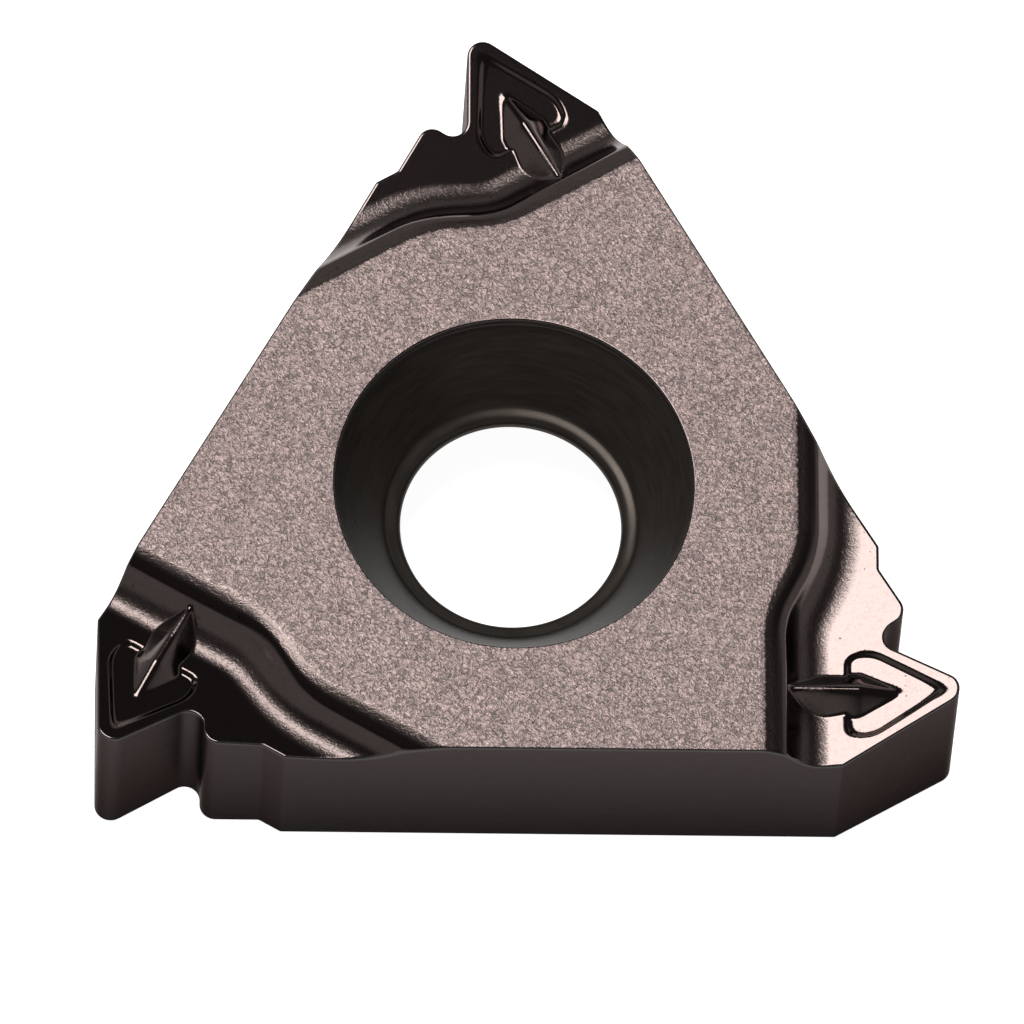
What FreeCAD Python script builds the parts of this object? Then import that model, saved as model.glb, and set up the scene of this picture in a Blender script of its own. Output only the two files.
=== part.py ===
import FreeCAD, Part
import math
import os

# Laydown threading insert: one pressed, sintered and ground carbide triangle with three cutting corners.
# Frame: origin on the screw hole's axis at the seat face, +Z up through the top face,
# one located side facing -Y. Each corner is drawn in its own frame first: X runs along the
# edge line of its tooth, Y points out through the tooth, and Z is up.

# Body
inscribed_circle = 9.525
thickness = 3.52
corner_count = 3

# Thread profile, a 60 degree form
pitch = 2.0
flank_half_angle = 30.0
tooth_centre = 3.503
tooth_reach = 7.558
tip_radius = 0.27
notch_radius = 0.25
shoulder_radius = 0.26
shoulder_setback = 0.206
step_height = 6.0
step_radius = 0.1

# Rake face
rake_angle = 11.0
rake_tip_height = 3.35

# Chip former wall, S-shaped in plan
wall_inner = 4.08
wall_outer = 4.64
wall_bend_start = 0.62
wall_bend_radius = 1.9
wall_bend_angle = 26.0
brow_run = 0.33
brow_drop = 0.13
brow_radius = 0.15
wall_angle = 55.0
foot_radius = 0.4
foot_share = 0.8

# Triangular recess in the rake face
recess_depth = 0.07
recess_wall_run = 0.045
recess_top = 7.08
recess_shoulder = 5.84
recess_bottom = 5.47
recess_shoulder_half = 0.76
recess_bottom_half = 0.68
recess_tip_radius = 0.09
recess_shoulder_radius = 0.3
recess_bottom_radius = 0.16

# Arrow shaped ridge across the recess and the wall
ridge_tip = 6.33
ridge_head = 5.68
ridge_waist = 5.42
ridge_belly = 5.08
ridge_tail = 4.5
ridge_head_half = 0.39
ridge_waist_half = 0.36
ridge_belly_half = 0.38
ridge_tail_half = 0.1
ridge_crest_width = 0.06
ridge_crest_front = 3.2
ridge_crest_back = 3.3
ridge_tip_height = 0.02
ridge_skirt_run = 0.06

# Screw hole
hole_mouth_radius = 2.947
hole_lip_depth = 0.2
hole_ring_radius = 2.08
hole_ring_height = 1.95
hole_neck_radius = 1.85
hole_neck_top = 1.87
hole_neck_length = 0.15
hole_relief_radius = 2.66

# Derived sizes
half_side = inscribed_circle / 2
side_angle = 180.0 / corner_count
rake_slope = math.tan(math.radians(rake_angle))
tip_reach = tooth_reach - tip_radius * (1 / math.sin(math.radians(flank_half_angle)) - 1)
wall_top = thickness - brow_drop
wall_base = rake_tip_height - rake_slope * (tip_reach - wall_inner) - brow_drop
wall_base_run = brow_run + (wall_top - wall_base) / math.tan(math.radians(wall_angle))
wall_reach = (wall_base_run + wall_bend_radius) / 2
front_start = (wall_base_run + wall_reach) / 2
brow_angle = math.degrees(math.atan(brow_drop / brow_run))
bend = math.radians(wall_bend_angle)
bends_drop = 2 * wall_bend_radius * (1 - math.cos(bend))
wall_middle_run = (wall_outer - wall_inner - bends_drop) / math.sin(bend)
wall_bend_end = wall_bend_start + 2 * wall_bend_radius * math.sin(bend) + wall_middle_run * math.cos(bend)
spare = 1.0


def rake_height(y):
    """Height of the rake plane at the distance y out from the hole axis."""
    return rake_tip_height - rake_slope * (tip_reach - y)


def point(x, y, z=0.0):
    return FreeCAD.Vector(x, y, z)


def foot_fillet():
    """The foot's radius, held to what fits on the shortest stretch of wall, under its rounded brow."""
    foot_turn = math.radians(wall_angle + rake_angle)
    brow_turn = math.radians(wall_angle - brow_angle)
    drop = wall_top - rake_height(wall_outer + brow_run)
    slope_length = drop * math.cos(math.radians(rake_angle)) / math.sin(foot_turn)
    room = slope_length - brow_radius * math.tan(brow_turn / 2)
    return min(foot_radius, foot_share * room / math.tan(foot_turn / 2))


def line_through(x, y, angle):
    """A line in plan through a point, at an angle in degrees from X."""
    return (x, y, math.cos(math.radians(angle)), math.sin(math.radians(angle)))


def meet(first, second):
    """Where two plan lines cross."""
    x1, y1, dx1, dy1 = first
    x2, y2, dx2, dy2 = second
    along = ((x2 - x1) * dy2 - (y2 - y1) * dx2) / (dx1 * dy2 - dy1 * dx2)
    return point(x1 + along * dx1, y1 + along * dy1)


def moved_out(corners, distance):
    """The corners of a closed clockwise polygon whose sides move outwards by a distance."""
    sides = []
    for start, end in zip(corners, corners[1:] + corners[:1]):
        run = end - start
        outward = point(-run.y, run.x) * (distance / run.Length)
        heading = math.degrees(math.atan2(run.y, run.x))
        sides.append(line_through(start.x + outward.x, start.y + outward.y, heading))
    return [meet(before, after) for before, after in zip(sides[-1:] + sides[:-1], sides)]


def rounded_wire(corners, radii):
    """A closed wire of straight sides through the corners, each corner rounded to its radius."""
    ends = []
    edges = []
    for i, corner in enumerate(corners):
        to_last = (corners[i - 1] - corner).normalize()
        to_next = (corners[(i + 1) % len(corners)] - corner).normalize()
        if radii[i] == 0:
            ends.append((corner, corner))
            continue
        half = to_last.getAngle(to_next) / 2
        bisector = (to_last + to_next).normalize()
        tangent = radii[i] / math.tan(half)
        first = corner + to_last * tangent
        last = corner + to_next * tangent
        middle = corner + bisector * (radii[i] / math.sin(half) - radii[i])
        ends.append((first, last))
        edges.append(Part.Arc(first, middle, last).toShape())
    for (_, start), (end, _) in zip(ends, ends[1:] + ends[:1]):
        edges.append(Part.LineSegment(start, end).toShape())
    return Part.Wire(Part.__sortEdges__(edges))


def turned(shape, corner):
    """A shape drawn in the corner frame, turned to one of the insert's corners."""
    copy = shape.copy()
    copy.rotate(point(0, 0), point(0, 0, 1), 90.0 - side_angle - corner * 360.0 / corner_count)
    return copy


def corner_profile():
    """Plan corners of one cutting corner and their radii, from the side before it to the side after it."""
    flank = 90.0 - flank_half_angle
    slant = 90.0 - side_angle
    out_x, out_y = -math.sin(math.radians(slant)), math.cos(math.radians(slant))
    side_before = line_through(half_side * out_x, half_side * out_y, slant)
    set_in = half_side - shoulder_setback
    crest_line = line_through(set_in * out_x, set_in * out_y, slant)
    step_line = line_through(0, step_height, 0)
    notch_x = tooth_centre - pitch / 2
    notch_y = tooth_reach - pitch / 2 * math.tan(math.radians(flank))
    shoulder_flank = line_through(notch_x, notch_y, -flank)
    leading_flank = line_through(tooth_centre, tooth_reach, -flank)
    side_after = line_through(half_side, 0, 90.0)
    return [
        (meet(side_before, step_line), step_radius),
        (meet(step_line, crest_line), step_radius),
        (meet(crest_line, shoulder_flank), shoulder_radius),
        (point(notch_x, notch_y), notch_radius),
        (point(tooth_centre, tooth_reach), tip_radius),
        (meet(leading_flank, side_after), 0),
    ]


def make_blank():
    """The prismatic body: three thread profiles joined by the three located sides."""
    corners = []
    radii = []
    for k in range(corner_count):
        for corner, radius in corner_profile():
            corners.append(turned(Part.Vertex(corner), k).Point)
            radii.append(radius)
    return Part.Face(rounded_wire(corners, radii)).extrude(point(0, 0, thickness))


def wall_section():
    """Upright section of what is pressed away outside the wall, with Y out from the plateau's edge."""
    corners = [
        point(0, -brow_run, thickness + brow_drop),
        point(0, brow_run, wall_top),
        point(0, wall_base_run, wall_base),
        point(0, wall_reach, wall_base),
        point(0, wall_reach, thickness + brow_drop),
    ]
    return Part.Face(rounded_wire(corners, [0, brow_radius, 0, 0, 0]))


def wall_sweep():
    """Solids of the wall section carried along an S: straight, bend in, straight, bend back, straight."""
    up = point(0, 0, 1)
    path = [
        (half_side + wall_bend_start, 0),
        (0, -1),
        (wall_middle_run, 0),
        (0, 1),
        (half_side, 0),
    ]
    place = point(-half_side, wall_outer)
    ahead = point(1, 0)
    section = wall_section()
    section.translate(place)
    pieces = []
    for run, side in path:
        if side == 0:
            pieces.append(section.extrude(ahead * run))
            section.translate(ahead * run)
            place = place + ahead * run
            continue
        centre = place + point(-ahead.y, ahead.x) * (side * wall_bend_radius)
        turn = FreeCAD.Rotation(up, side * wall_bend_angle)
        pieces.append(section.revolve(centre, up * side, wall_bend_angle))
        section.rotate(centre, up, side * wall_bend_angle)
        place = centre + turn.multVec(place - centre)
        ahead = turn.multVec(ahead)
    return pieces


def make_chip_former():
    """Everything pressed away at one corner: above the rake plane and outside the wall, its foot rounded."""
    pieces = wall_sweep()
    left, right, out = -half_side, 2 * half_side, tooth_reach + spare
    outline = [
        point(left, wall_outer + front_start, wall_base),
        point(wall_bend_start, wall_outer + front_start, wall_base),
        point(wall_bend_end, wall_inner + front_start, wall_base),
        point(right, wall_inner + front_start, wall_base),
        point(right, out, wall_base),
        point(left, out, wall_base),
    ]
    front = Part.Face(Part.makePolygon(outline + outline[:1]))
    pieces.append(front.extrude(point(0, 0, thickness + brow_drop - wall_base)))
    pressed = pieces[0].multiFuse(pieces[1:]).removeSplitter()
    section = [
        point(left - spare, 0, rake_height(0)),
        point(left - spare, out + spare, rake_height(out + spare)),
        point(left - spare, out + spare, thickness + spare),
        point(left - spare, 0, thickness + spare),
    ]
    above_rake = Part.Face(Part.makePolygon(section + section[:1]))
    pressed = pressed.common(above_rake.extrude(point(right - left + 2 * spare, 0)))
    pressed = pressed.removeSplitter()
    limit = wall_outer + front_start
    foot = [edge for edge in pressed.Edges if on_rake(edge) and edge.BoundBox.YMax < limit]
    return pressed.makeFillet(foot_fillet(), foot)


def on_rake(edge):
    """Whether an edge lies in the rake plane."""
    middle = edge.valueAt((edge.FirstParameter + edge.LastParameter) / 2)
    places = [vertex.Point for vertex in edge.Vertexes] + [middle]
    return all(abs(p.z - rake_height(p.y)) < 1e-6 for p in places)


def make_recess():
    """Shallow triangular recess with sloping walls and a floor parallel to the rake face."""
    stretch = 1 / math.cos(math.radians(rake_angle))
    top = (recess_top - recess_bottom) * stretch
    shoulder = (recess_shoulder - recess_bottom) * stretch
    outline = [
        point(-recess_bottom_half, 0),
        point(-recess_shoulder_half, shoulder),
        point(0, top),
        point(recess_shoulder_half, shoulder),
        point(recess_bottom_half, 0),
    ]
    radii = [
        recess_bottom_radius,
        recess_shoulder_radius,
        recess_tip_radius,
        recess_shoulder_radius,
        recess_bottom_radius,
    ]
    levels = []
    for level in (-1, 1):
        wire = rounded_wire(
            moved_out(outline, level * recess_wall_run),
            [radius + level * recess_wall_run for radius in radii],
        )
        wire.translate(point(0, 0, level * recess_depth))
        levels.append(wire)
    recess = Part.makeLoft(levels, True, True)
    recess.rotate(point(0, 0), point(1, 0), rake_angle)
    recess.translate(point(tooth_centre, recess_bottom, rake_height(recess_bottom)))
    return recess


def ridge_station(y, half_width, crest):
    """Roof-shaped section of the ridge at one distance out, its skirt rooted below the recess floor."""
    root = rake_height(y) - 2 * recess_depth
    half_crest = ridge_crest_width / 2
    outline = [
        point(tooth_centre - half_width - ridge_skirt_run, y, root),
        point(tooth_centre - half_width, y, rake_height(y)),
        point(tooth_centre - half_crest, y, crest),
        point(tooth_centre + half_crest, y, crest),
        point(tooth_centre + half_width, y, rake_height(y)),
        point(tooth_centre + half_width + ridge_skirt_run, y, root),
    ]
    return Part.makePolygon(outline + outline[:1])


def make_ridge():
    """Arrow ridge: a pointed head, a waist and a body whose crest runs level into the wall."""
    crest_slope = (ridge_crest_back - ridge_crest_front) / (ridge_head - ridge_tail)
    tip_crest = rake_height(ridge_tip) + ridge_tip_height
    stations = [ridge_station(ridge_tip, ridge_crest_width, tip_crest)]
    for y, half_width in [
        (ridge_head, ridge_head_half),
        (ridge_waist, ridge_waist_half),
        (ridge_belly, ridge_belly_half),
        (ridge_tail, ridge_tail_half),
    ]:
        stations.append(ridge_station(y, half_width, ridge_crest_front + crest_slope * (ridge_head - y)))
    return Part.makeLoft(stations, True, True)


def make_hole():
    """Screw hole: a short lip, a cone for the screw's head, a narrow neck and a relief cone to the seat."""
    profile = [
        point(0, 0, -spare),
        point(hole_relief_radius, 0, -spare),
        point(hole_relief_radius, 0, 0),
        point(hole_neck_radius, 0, hole_neck_top - hole_neck_length),
        point(hole_neck_radius, 0, hole_neck_top),
        point(hole_ring_radius, 0, hole_ring_height),
        point(hole_mouth_radius, 0, thickness - hole_lip_depth),
        point(hole_mouth_radius, 0, thickness + spare),
        point(0, 0, thickness + spare),
    ]
    face = Part.Face(Part.makePolygon(profile + profile[:1]))
    return face.revolve(point(0, 0), point(0, 0, 1), 360)


def make_threading_insert():
    insert = make_blank()
    chip_former = make_chip_former()
    recess = make_recess()
    ridge = make_ridge()
    for k in range(corner_count):
        insert = insert.cut(turned(chip_former, k)).cut(turned(recess, k)).fuse(turned(ridge, k))
    return insert.cut(make_hole()).removeSplitter()


os.makedirs("parts", exist_ok=True)
shape = make_threading_insert()
shape.exportStep("parts/threading_insert.step")
print("volume", round(shape.Volume, 3), "mm3, valid", shape.isValid(), "solids", len(shape.Solids))
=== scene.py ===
import math

import bpy
import numpy as np
from bpy.props import FloatProperty, FloatVectorProperty, IntProperty, PointerProperty
from mathutils import Euler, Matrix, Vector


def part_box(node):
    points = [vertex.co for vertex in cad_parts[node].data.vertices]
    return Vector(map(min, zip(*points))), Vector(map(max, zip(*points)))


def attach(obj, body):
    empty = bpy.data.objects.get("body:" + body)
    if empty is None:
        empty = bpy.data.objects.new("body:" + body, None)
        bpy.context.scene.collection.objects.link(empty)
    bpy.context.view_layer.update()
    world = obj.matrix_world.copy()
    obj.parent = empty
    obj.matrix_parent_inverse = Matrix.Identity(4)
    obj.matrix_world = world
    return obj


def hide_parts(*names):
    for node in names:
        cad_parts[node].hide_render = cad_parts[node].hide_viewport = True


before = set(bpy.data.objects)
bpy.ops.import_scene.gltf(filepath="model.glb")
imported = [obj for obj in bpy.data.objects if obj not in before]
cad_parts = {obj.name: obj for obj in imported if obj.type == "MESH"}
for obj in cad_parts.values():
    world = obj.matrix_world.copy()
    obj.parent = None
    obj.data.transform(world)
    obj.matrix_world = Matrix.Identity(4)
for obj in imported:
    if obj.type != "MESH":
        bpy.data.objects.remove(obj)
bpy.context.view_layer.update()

# The looks of a coated carbide threading insert: a laydown triangle with three chip forming corners.
# A corner is worked out in its own frame, in millimetres: t runs along the edge line of its tooth,
# a points out through the tooth, and the plan turns to each of the three corners. Functions take the
# settings as p for the profile, f for the chip former, h for the hole, d for the mesh's density, c for
# the finish and s for the studio.

bl_info = {
    "name": "Threading Insert",
    "version": (1, 0, 0),
    "blender": (4, 5, 0),
    "location": "View3D > Sidebar > Insert",
    "description": "Builds a coated carbide threading insert and its studio",
    "category": "Add Mesh",
}

NODE = "threading_insert"
BODY = "root"
MM = 0.001
LOW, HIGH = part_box(NODE)
CORNERS = 3
SIDE_SLANT = 90.0 - 180.0 / CORNERS

# Turns in radians and heights in millimetres below this count as none
TINY = 0.00001

# Columns of the outer skin, as shares of the half side: where the corners' grids join, and where the
# fine steps beside the wall start and end
SEAM_SHARE = 0.6
WALL_START_SHARE = 0.12
WALL_END_SHARE = 0.8

# Columns start on a base line this far inside the wall. Over this half width of the tooth they run
# straight out, and elsewhere they start this far inside the sides.
BASE_MARGIN = 0.13
TOOTH_HALF = 0.9
SIDE_INSET = 0.9

# Guides after the tooth: a place's height on the outline over the base line, then how far inside the
# side and below the base line the column through it starts
AFTER_GUIDES = [(1.4, 0.3, 0.0), (0.45, 0.26, 0.15), (-0.05, 0.34, 0.4)]

# Rows of the outer skin: the shares of a column's length where wall, ridge and recess end
WALL_SHARE = 0.42
RIDGE_SHARE = 0.76
RECESS_SHARE = 0.92

# Rows over the honed edge, as shares of the hone inside the outline. So many of the last ones are coated
# as the flank is.
HONE_ROWS = np.array([1.2, 1.0, 0.62, 0.3, 0.08, 0.0])
DARK_HONE_ROWS = 4

# Rows this far from the flank's edges keep its shading flat
FLANK_HOLD = 0.04

# Rows round the seat: how far inside the outline and how high they lie, as shares of the edge break
SEAT_ROWS = [(0.0, 1.0), (0.3, 0.3), (1.0, 0.0), (2.0, 0.0)]

# How the hole's profile is divided: steps over its lip, and the length of a step on cone, neck and
# relief. Over the flat faces it runs on by so many radii of its edge.
LIP_STEPS = 4
CONE_STEP = 0.2
NECK_STEP = 0.05
RELIEF_STEP = 0.4
HOLE_MARGIN = 4

# The brow's drop is tabled out to this distance. At this share of its width the softer brow has its own
# slope.
BROW_TABLE_END = 3.0
BROW_TABLE_COUNT = 2000
BROW_SOFT_SHARE = 0.55

# How blunt the ridge's tail is, and how steeply its surface dives behind the tail
TAIL_POWER = 2.6
RIDGE_END_SLOPE = 2.0

# The foot's rounding falls off by this power. By its share it starts to fall half as fast as the gap
# between rake and wall grows, so that no crease is left where they cross.
FOOT_POWER = 2.6
FOOT_SHARE = 0.5 / FOOT_POWER

# Where the finish of the top changes, as distances outside the top face's edge: the matte coat fades out
# round its end over its reach, and along the band the wall's foot is grainy where the second list has 1
MATTE_LAYER = "matte"
MATTE_END = 0.01
MATTE_REACH = 0.16
FOOT_LAYER = "foot"
FOOT_BAND = [0.1, 0.22, 0.55, 0.68, 0.95, 1.1]
FOOT_GRAIN = [1, 0, 0, 1, 1, 0]

# Places of the coats in the mesh's list of materials
TOP_COAT = 0
FLANK_COAT = 1
BORE_COAT = 2
SEAT_COAT = 3

# The blasted grain: the fineness and curl of its noise, and its low, middle and high places there
GRAIN_DETAIL = 2.0
GRAIN_CURL = 1.2
GRAIN_STOPS = (0.38, 0.5, 0.62)

# How much brighter its high places are, and how much darker the polished coat is at its low ones
GRAIN_HIGH_TONE = 1.4
SHEEN_LOW_TONE = 0.9

# How strongly the grain stands out on the polished faces, on the wall's foot and on the matte face
SHEEN_RELIEF = 0.03
FOOT_RELIEF = 0.36
MATTE_RELIEF = 1.0

# Pits and clouds in the coat: sizes in grains, places in their noise, and tones
PIT_SIZE = 1.2
PIT_STOPS = (0.22, 0.25)
MATTE_PIT_TONE = 0.4
SHEEN_PIT_TONE = 0.3
CLOUD_SIZE = 9
CLOUD_STOPS = (0.35, 0.65)
CLOUD_TONES = (0.96, 1.04)

# How much the grain frays the matte face's end, and between which sums matte passes into polish
FRAY_SHARE = 0.45
FRAY_STOPS = (0.62, 0.8)

# Where the lines of ground and turned faces are darkest and brightest in their noise
LINE_STOPS = (0.3, 0.7)

# Brightness of the surroundings at two heights, counted from 0 straight below to 1 straight above
SKY_STOPS = (0.36, 0.56)
SKY_TONES = (0.5, 0.07)

# The floor's distance below the seat in metres
FLOOR_GAP = 0.00001

# The room that a node takes in the node editor
NODE_WIDTH = 220
NODE_HEIGHT = 320


def length(name, text, millimetres):
    """A length property whose default is given in millimetres."""
    return FloatProperty(name=name, description=text, default=millimetres * MM, unit="LENGTH", precision=6)


def angle(name, text, degrees):
    """An angle property whose default is given in degrees."""
    return FloatProperty(name=name, description=text, default=math.radians(degrees), unit="ROTATION")


def share(name, text, value):
    """A property from 0 to 1."""
    return FloatProperty(name=name, description=text, default=value, min=0.0, max=1.0, subtype="FACTOR")


def colour(name, text, value):
    """A linear colour property."""
    return FloatVectorProperty(
        name=name, description=text, default=value, size=3, min=0.0, max=1.0, subtype="COLOR")


class ProfileSizes(bpy.types.PropertyGroup):
    """The outline of the body and of the thread profile at each corner."""

    half_side: length("Half side", "Distance from the hole's axis to a located side", -LOW.y / MM)
    thickness: length("Thickness", "Height of the top face over the seat", HIGH.z / MM)
    pitch: length("Pitch", "Width of the tooth at its notch", 2.0)
    flank_half_angle: angle("Flank half angle", "Half of the thread's angle", 30.0)
    tooth_centre: length("Tooth centre", "Place of the tooth along its edge line", 3.503)
    tooth_reach: length("Tooth reach", "Distance out to the sharp tip", 7.558)
    tip_radius: length("Tip radius", "Radius of the tooth's tip", 0.27)
    notch_radius: length("Notch radius", "Radius at the tooth's root", 0.25)
    shoulder_radius: length("Shoulder radius", "Radius of the crest beside the tooth", 0.26)
    shoulder_setback: length("Shoulder setback", "Distance of the crest inside the located side", 0.206)
    step_height: length("Step height", "Distance out of the step before the crest", 6.0)
    step_radius: length("Step radius", "Radius at both ends of the step", 0.1)
    heel_radius: length("Heel radius", "Edge break where the leading flank meets the side", 0.06)
    hone: length("Hone", "Radius of the honed top edge", 0.045)
    seat_break: length("Seat break", "Edge break round the seat face", 0.03)


class FormerSizes(bpy.types.PropertyGroup):
    """The pressed chip former of a corner: rake face, wall, recess and ridge."""

    rake_angle: angle("Rake angle", "Slope of the rake face down towards the wall", 11.77)
    rake_tip_height: length("Rake height", "Height of the rake face at the tip", 3.35)
    wall_inner: length("Wall beside the tooth", "Distance out of the wall's edge there", 4.08)
    wall_outer: length("Wall beside the crest", "Distance out of the wall's edge there", 4.64)
    bend_start: length("Bend start", "Where the wall's first bend starts", 0.62)
    bend_radius: length("Bend radius", "Radius of the wall's two bends", 1.9)
    bend_angle: angle("Bend angle", "Turn of each of the wall's bends", 26.0)
    brow_run: length("Brow run", "Width of the rounded brow above the wall", 0.31)
    brow_start_angle: angle("Brow start", "Slope where the brow leaves the top face", 14.0)
    brow_end_angle: angle("Brow end", "Slope where the brow meets the wall", 28.0)
    brow_round: length("Brow rounding", "Width of the rounding between brow and wall", 0.08)
    brow_soft: length("Soft brow start", "How far inside the edge the softer brow starts", 0.11)
    brow_soft_angle: angle("Soft brow slope", "Slope of the softer brow before it turns to the wall", 19.0)
    brow_soft_reach: length("Soft brow reach", "Half width of the stretch with the softer brow", 0.85)
    wall_angle: angle("Wall angle", "Slope of the wall", 56.0)
    foot_depth: length("Foot rounding", "Height over which the foot of the wall is rounded", 0.73)
    recess_depth: length("Recess depth", "Depth of the triangular recess", 0.07)
    recess_wall: length("Recess wall", "Width of the recess wall in plan", 0.11)
    recess_top: length("Recess top", "Distance out of the recess's point", 7.08)
    recess_shoulder: length("Recess shoulder", "Distance out of the recess's widest place", 5.84)
    recess_bottom: length("Recess bottom", "Distance out of the recess's inner edge", 5.47)
    recess_half: length("Recess half width", "Half width at the shoulder", 0.76)
    recess_foot_half: length("Recess foot half width", "Half width at the inner edge", 0.68)
    recess_round: length("Recess rounding", "Blend at the recess's corners", 0.16)
    recess_blunt: length("Recess point rounding", "Rounding of the recess's point", 0.06)
    ridge_tip: length("Ridge tip", "Distance out of the ridge's point", 6.33)
    ridge_head: length("Ridge head", "Distance out of the arrow head's base", 5.68)
    ridge_waist: length("Ridge waist", "Distance out of the waist", 5.45)
    ridge_belly: length("Ridge belly", "Distance out of the body's widest place", 5.1)
    ridge_tail: length("Ridge tail", "Distance out of the tail", 4.45)
    ridge_head_half: length("Head half width", "Half width of the arrow head", 0.39)
    ridge_waist_half: length("Waist half width", "Half width of the waist", 0.33)
    ridge_belly_half: length("Belly half width", "Half width of the body", 0.37)
    ridge_crest: length("Crest rounding", "Rounding of the ridge's crest", 0.05)
    ridge_front: length("Crest front height", "Height of the crest at the arrow head", 3.25)
    ridge_back: length("Crest back height", "Height of the crest at the wall", 3.27)
    ridge_round: length("Ridge rounding", "Blend at the ridge's foot", 0.03)


class HoleSizes(bpy.types.PropertyGroup):
    """The screw hole from the top face down to the seat."""

    mouth_radius: length("Mouth radius", "Radius at the top face", 2.947)
    lip_depth: length("Lip depth", "Height of the straight lip under the top face", 0.2)
    ring_radius: length("Ring radius", "Radius at the foot of the screw's cone", 2.08)
    ring_height: length("Ring height", "Height of the cone's foot", 1.95)
    neck_radius: length("Neck radius", "Radius of the narrow neck", 1.82)
    neck_top: length("Neck top", "Height of the neck's upper end", 1.87)
    neck_length: length("Neck length", "Length of the neck", 0.15)
    relief_radius: length("Relief radius", "Radius at the seat face", 2.66)
    edge_radius: length("Edge radius", "Rounding of the hole's upper edge", 0.03)
    cone_radius: length("Cone radius", "Rounding where the cone meets the lip", 0.06)
    ring_round: length("Ring rounding", "Rounding of the ring under the cone", 0.08)
    neck_round: length("Neck rounding", "Rounding of the neck's upper edge", 0.18)


class MeshDensity(bpy.types.PropertyGroup):
    """How finely the surface is divided."""

    side_step: length("Side step", "Step along a located side", 0.4)
    wall_step: length("Wall step", "Step along the outline where the wall meets it", 0.045)
    crest_step: length("Crest step", "Step along the crest and the step", 0.05)
    tooth_step: length("Tooth step", "Step along the tooth's flanks", 0.04)
    arc_step: angle("Arc step", "Turn between two points of an arc", 11.0)
    wall_rows: IntProperty(name="Wall rows", description="Rows from the top face over the wall", default=40)
    ridge_rows: IntProperty(name="Ridge rows", description="Rows over the ridge", default=26)
    recess_rows: IntProperty(name="Recess rows", description="Rows over the recess's sides", default=16)
    rim_rows: IntProperty(name="Rim rows", description="Rows from the recess to the honed edge", default=5)
    hole_columns: IntProperty(name="Hole columns", description="Columns round the hole", default=192)


class FinishColours(bpy.types.PropertyGroup):
    """Colours and gloss of the coated surfaces."""

    polished: colour("Polished coat", "Reflection of the pressed and polished faces", (0.094, 0.074, 0.069))
    matte: colour("Matte coat", "Tone of the blasted top face", (0.238, 0.174, 0.162))
    matte_dark: colour("Matte coat, low", "Tone of the low places of the grain", (0.11, 0.085, 0.08))
    flank: colour("Ground flank", "Reflection of the ground flanks at the edge", (0.066, 0.06, 0.06))
    # Painted shade: the flank's darker colour at the seat stands in for the shadowed floor that the flank
    # mirrors there
    flank_low: colour("Ground flank, low", "The same at the seat", (0.034, 0.034, 0.034))
    bore: colour("Hole coat", "Reflection of the hole's wall", (0.05, 0.042, 0.036))
    edge_tint: colour("Edge tint", "Tint of the coat at grazing angles", (0.36, 0.335, 0.33))
    bore_tint: colour("Hole edge tint", "The same tint in the hole", (0.24, 0.22, 0.21))
    seat: colour("Seat face", "Tone of the ground seat face", (0.16, 0.135, 0.125))
    polished_roughness: share("Polished roughness", "Roughness of the pressed faces", 0.12)
    foot_roughness: share("Foot roughness", "Roughness of the foot of the wall", 0.31)
    matte_roughness: share("Matte roughness", "Roughness of the blasted face", 0.42)
    flank_roughness: share("Flank roughness", "Roughness of the ground flanks", 0.38)
    bore_roughness: share("Hole roughness", "Roughness of the hole's wall", 0.3)
    seat_roughness: share("Seat roughness", "Roughness of the ground seat face", 0.45)
    matte_metal: share("Matte metal", "How metallic the blasted face looks", 0.45)
    dull_metal: share("Dull metal", "How metallic the hole and the seat face look", 0.6)
    grain: length("Grain", "Size of the blasted grain", 0.068)
    grain_depth: length("Grain depth", "Depth of the blasted grain", 0.019)


class StudioSettings(bpy.types.PropertyGroup):
    """Floor, lamp and camera."""

    floor_width: length("Floor width", "Width of the floor", 2000.0)
    floor_colour: colour("Floor colour", "Colour of the floor", (0.6, 0.6, 0.6))
    floor_glow: share("Floor glow", "Light that the floor adds where it is looked at", 0.96)
    box_direction: FloatVectorProperty(
        name="Softbox direction", description="Where the softbox stands, seen from the insert",
        default=(-0.225, 0.19, 0.955), size=3, subtype="DIRECTION")
    box_distance: length("Softbox distance", "Distance of the softbox", 500.0)
    box_width: length("Softbox width", "Width of the softbox", 215.0)
    box_depth: length("Softbox depth", "Depth of the softbox", 325.0)
    box_power: FloatProperty(
        name="Softbox power", description="Power of the softbox", default=2.6, unit="POWER")
    camera_place: FloatVectorProperty(
        name="Camera place", description="Where the camera stands",
        default=(-0.011856, -0.155984, 0.347910), size=3, unit="LENGTH", subtype="TRANSLATION", precision=6)
    camera_turn: FloatVectorProperty(
        name="Camera turn", description="How the camera is turned",
        default=tuple(math.radians(x) for x in (24.2875, -1.8846, -0.1793)), size=3, subtype="EULER")
    camera_lens: FloatProperty(name="Lens", description="Focal length in millimetres", default=810.86)


def own_properties(group):
    """The properties that a group declares itself."""
    return [prop for prop in group.bl_rna.properties if prop.identifier not in ("rna_type", "name")]


def in_millimetres(group):
    """A property group as plain numbers: lengths in millimetres, angles in radians, the rest as it is."""
    values = {}
    for prop in own_properties(group):
        value = getattr(group, prop.identifier)
        values[prop.identifier] = value / MM if prop.unit == "LENGTH" else value
    return type("Sizes", (), values)


def add_object(name, data):
    """A new object of the scene with the given data."""
    made = bpy.data.objects.new(name, data)
    bpy.context.scene.collection.objects.link(made)
    return made


# Plan geometry

def unit(degrees):
    """Unit vector at an angle in plan."""
    w = math.radians(degrees)
    return np.array([math.cos(w), math.sin(w)])


def meet(first, second):
    """Where two plan lines cross, each given as a point and a heading in degrees."""
    (p, p_heading), (q, q_heading) = first, second
    u, v = unit(p_heading), unit(q_heading)
    along = np.linalg.solve(np.stack([u, -v], axis=1), np.array(q) - np.array(p))[0]
    return np.array(p) + along * u


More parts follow.
